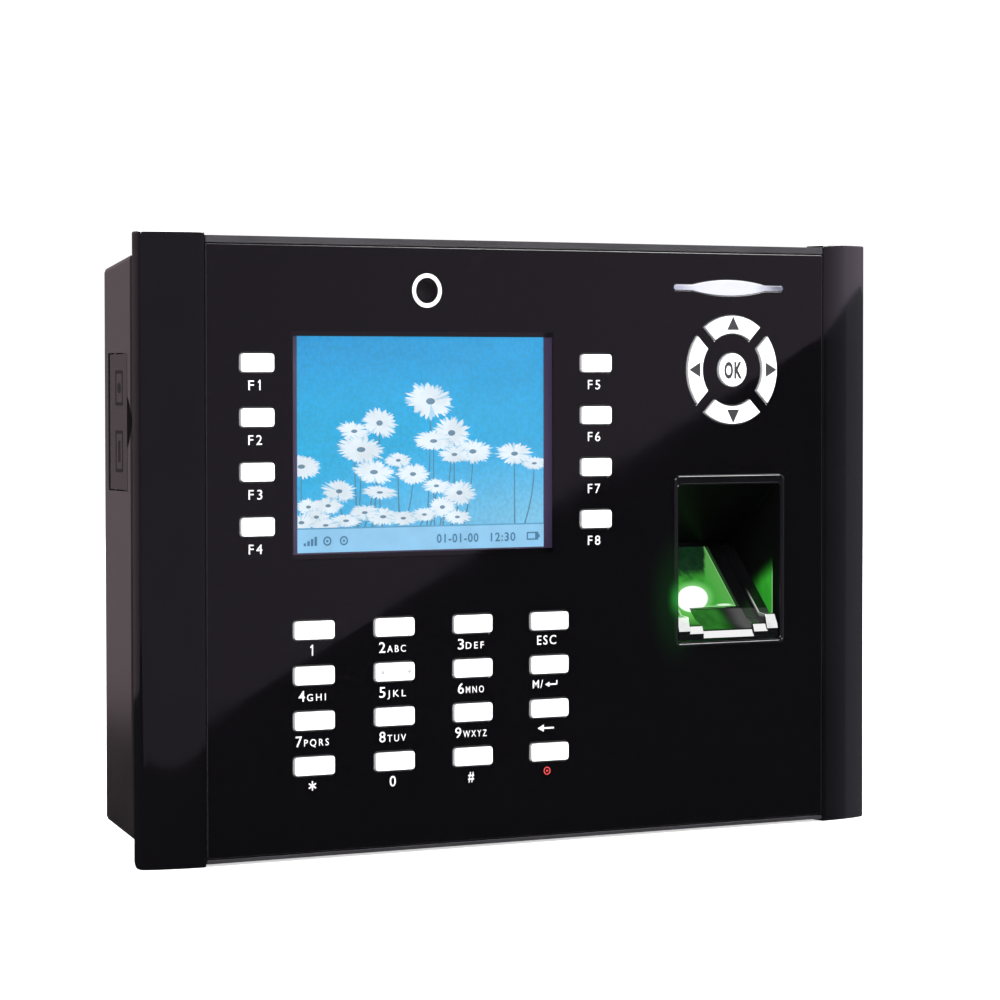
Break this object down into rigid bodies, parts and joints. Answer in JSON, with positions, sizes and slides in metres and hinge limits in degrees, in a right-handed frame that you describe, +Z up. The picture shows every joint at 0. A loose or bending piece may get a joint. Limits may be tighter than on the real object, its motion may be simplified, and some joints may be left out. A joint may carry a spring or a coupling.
{
  "type": "fingerprint scanner terminal",
  "caption": "Wall-mounted fingerprint access terminal: black glass front with colour display, keypad, navigation pad, finger recess and lit bar, on a tapered rear housing.",
  "frame": {"origin": "middle of the wall plate's rear face, where it meets the wall", "axes": "+Y into the wall, +X to the right of a person facing the front, +Z up"},
  "size_m": [0.2122, 0.0298, 0.1508],
  "materials": {
    "key_white": "satin",
    "panel_glass": "clear acrylic printed black behind, high gloss",
    "rail_black": "fine satin",
    "frame_black": "satin",
    "housing_grey": "fine moulded grain",
    "sensor_black": "high gloss",
    "platen_glass": "polished",
    "indicator_clear": "frosted light guide",
    "screen_blue": "lit colour display",
    "membrane_grey": "matt",
    "board_green": "solder mask",
    "plate_steel": "zinc-plated sheet",
    "screw_zinc": "zinc-plated",
    "component_black": "moulded",
    "terminal_green": "moulded",
    "battery_blue": "shrink wrap"
  },
  "bodies": {
    "terminal": {"front_panel": "panel_glass", "left_rail": "rail_black", "right_rail": "rail_black", "front_frame": "frame_black", "rear_housing": "housing_grey", "sensor_bezel": "sensor_black", "sensor_guide": "sensor_black", "sensor_prism": "platen_glass", "indicator_lens": "indicator_clear", "lcd_panel": "screen_blue", "key_membrane": "membrane_grey", "key_board": "board_green", "main_board": "board_green", "sensor_board": "board_green", "wall_plate": "plate_steel", "door_pin": "plate_steel", "usb_socket": "plate_steel", "service_socket": "plate_steel", "housing_screw_1": "screw_zinc", "housing_screw_2": "screw_zinc", "housing_screw_3": "screw_zinc", "housing_screw_4": "screw_zinc", "security_screw": "screw_zinc", "ethernet_jack": "screw_zinc", "camera_module": "component_black", "speaker": "component_black", "tamper_switch": "component_black", "terminal_block": "terminal_green", "battery": "battery_blue"},
    "key_f1": {"key_f1": "key_white"},
    "key_f2": {"key_f2": "key_white"},
    "key_f3": {"key_f3": "key_white"},
    "key_f4": {"key_f4": "key_white"},
    "key_f5": {"key_f5": "key_white"},
    "key_f6": {"key_f6": "key_white"},
    "key_f7": {"key_f7": "key_white"},
    "key_f8": {"key_f8": "key_white"},
    "key_1": {"key_1": "key_white"},
    "key_2": {"key_2": "key_white"},
    "key_3": {"key_3": "key_white"},
    "key_esc": {"key_esc": "key_white"},
    "key_4": {"key_4": "key_white"},
    "key_5": {"key_5": "key_white"},
    "key_6": {"key_6": "key_white"},
    "key_menu": {"key_menu": "key_white"},
    "key_7": {"key_7": "key_white"},
    "key_8": {"key_8": "key_white"},
    "key_9": {"key_9": "key_white"},
    "key_back": {"key_back": "key_white"},
    "key_star": {"key_star": "key_white"},
    "key_0": {"key_0": "key_white"},
    "key_hash": {"key_hash": "key_white"},
    "key_power": {"key_power": "key_white"},
    "nav_up": {"nav_up": "key_white"},
    "nav_down": {"nav_down": "key_white"},
    "nav_left": {"nav_left": "key_white"},
    "nav_right": {"nav_right": "key_white"},
    "nav_ok": {"nav_ok": "key_white"},
    "tamper_plunger": {"tamper_plunger": "key_white"},
    "usb_door": {"usb_door": "housing_grey"}
  },
  "joints": [
    {"name": "key_f1_press", "type": "slide", "parent": "terminal", "child": "key_f1", "axis": [0, 1, 0], "range_m": [0, 0.0006], "stiffness_N_per_m": 20},
    {"name": "key_f2_press", "type": "slide", "parent": "terminal", "child": "key_f2", "axis": [0, 1, 0], "range_m": [0, 0.0006], "stiffness_N_per_m": 20},
    {"name": "key_f3_press", "type": "slide", "parent": "terminal", "child": "key_f3", "axis": [0, 1, 0], "range_m": [0, 0.0006], "stiffness_N_per_m": 20},
    {"name": "key_f4_press", "type": "slide", "parent": "terminal", "child": "key_f4", "axis": [0, 1, 0], "range_m": [0, 0.0006], "stiffness_N_per_m": 20},
    {"name": "key_f5_press", "type": "slide", "parent": "terminal", "child": "key_f5", "axis": [0, 1, 0], "range_m": [0, 0.0006], "stiffness_N_per_m": 20},
    {"name": "key_f6_press", "type": "slide", "parent": "terminal", "child": "key_f6", "axis": [0, 1, 0], "range_m": [0, 0.0006], "stiffness_N_per_m": 20},
    {"name": "key_f7_press", "type": "slide", "parent": "terminal", "child": "key_f7", "axis": [0, 1, 0], "range_m": [0, 0.0006], "stiffness_N_per_m": 20},
    {"name": "key_f8_press", "type": "slide", "parent": "terminal", "child": "key_f8", "axis": [0, 1, 0], "range_m": [0, 0.0006], "stiffness_N_per_m": 20},
    {"name": "key_1_press", "type": "slide", "parent": "terminal", "child": "key_1", "axis": [0, 1, 0], "range_m": [0, 0.0006], "stiffness_N_per_m": 20},
    {"name": "key_2_press", "type": "slide", "parent": "terminal", "child": "key_2", "axis": [0, 1, 0], "range_m": [0, 0.0006], "stiffness_N_per_m": 20},
    {"name": "key_3_press", "type": "slide", "parent": "terminal", "child": "key_3", "axis": [0, 1, 0], "range_m": [0, 0.0006], "stiffness_N_per_m": 20},
    {"name": "key_esc_press", "type": "slide", "parent": "terminal", "child": "key_esc", "axis": [0, 1, 0], "range_m": [0, 0.0006], "stiffness_N_per_m": 20},
    {"name": "key_4_press", "type": "slide", "parent": "terminal", "child": "key_4", "axis": [0, 1, 0], "range_m": [0, 0.0006], "stiffness_N_per_m": 20},
    {"name": "key_5_press", "type": "slide", "parent": "terminal", "child": "key_5", "axis": [0, 1, 0], "range_m": [0, 0.0006], "stiffness_N_per_m": 20},
    {"name": "key_6_press", "type": "slide", "parent": "terminal", "child": "key_6", "axis": [0, 1, 0], "range_m": [0, 0.0006], "stiffness_N_per_m": 20},
    {"name": "key_menu_press", "type": "slide", "parent": "terminal", "child": "key_menu", "axis": [0, 1, 0], "range_m": [0, 0.0006], "stiffness_N_per_m": 20},
    {"name": "key_7_press", "type": "slide", "parent": "terminal", "child": "key_7", "axis": [0, 1, 0], "range_m": [0, 0.0006], "stiffness_N_per_m": 20},
    {"name": "key_8_press", "type": "slide", "parent": "terminal", "child": "key_8", "axis": [0, 1, 0], "range_m": [0, 0.0006], "stiffness_N_per_m": 20},
    {"name": "key_9_press", "type": "slide", "parent": "terminal", "child": "key_9", "axis": [0, 1, 0], "range_m": [0, 0.0006], "stiffness_N_per_m": 20},
    {"name": "key_back_press", "type": "slide", "parent": "terminal", "child": "key_back", "axis": [0, 1, 0], "range_m": [0, 0.0006], "stiffness_N_per_m": 20},
    {"name": "key_star_press", "type": "slide", "parent": "terminal", "child": "key_star", "axis": [0, 1, 0], "range_m": [0, 0.0006], "stiffness_N_per_m": 20},
    {"name": "key_0_press", "type": "slide", "parent": "terminal", "child": "key_0", "axis": [0, 1, 0], "range_m": [0, 0.0006], "stiffness_N_per_m": 20},
    {"name": "key_hash_press", "type": "slide", "parent": "terminal", "child": "key_hash", "axis": [0, 1, 0], "range_m": [0, 0.0006], "stiffness_N_per_m": 20},
    {"name": "key_power_press", "type": "slide", "parent": "terminal", "child": "key_power", "axis": [0, 1, 0], "range_m": [0, 0.0006], "stiffness_N_per_m": 20},
    {"name": "nav_up_press", "type": "slide", "parent": "terminal", "child": "nav_up", "axis": [0, 1, 0], "range_m": [0, 0.0006], "stiffness_N_per_m": 20},
    {"name": "nav_down_press", "type": "slide", "parent": "terminal", "child": "nav_down", "axis": [0, 1, 0], "range_m": [0, 0.0006], "stiffness_N_per_m": 20},
    {"name": "nav_left_press", "type": "slide", "parent": "terminal", "child": "nav_left", "axis": [0, 1, 0], "range_m": [0, 0.0006], "stiffness_N_per_m": 20},
    {"name": "nav_right_press", "type": "slide", "parent": "terminal", "child": "nav_right", "axis": [0, 1, 0], "range_m": [0, 0.0006], "stiffness_N_per_m": 20},
    {"name": "nav_ok_press", "type": "slide", "parent": "terminal", "child": "nav_ok", "axis": [0, 1, 0], "range_m": [0, 0.0006], "stiffness_N_per_m": 20},
    {"name": "tamper_press", "type": "slide", "parent": "terminal", "child": "tamper_plunger", "axis": [0, -1, 0], "range_m": [0, 0.0005], "stiffness_N_per_m": 10},
    {"name": "usb_door_swing", "type": "hinge", "parent": "terminal", "child": "usb_door", "pos_m": [-0.10267, -0.0062, 0.0304], "axis": [0, 0, -1], "range_deg": [0, 95]}
  ]
}
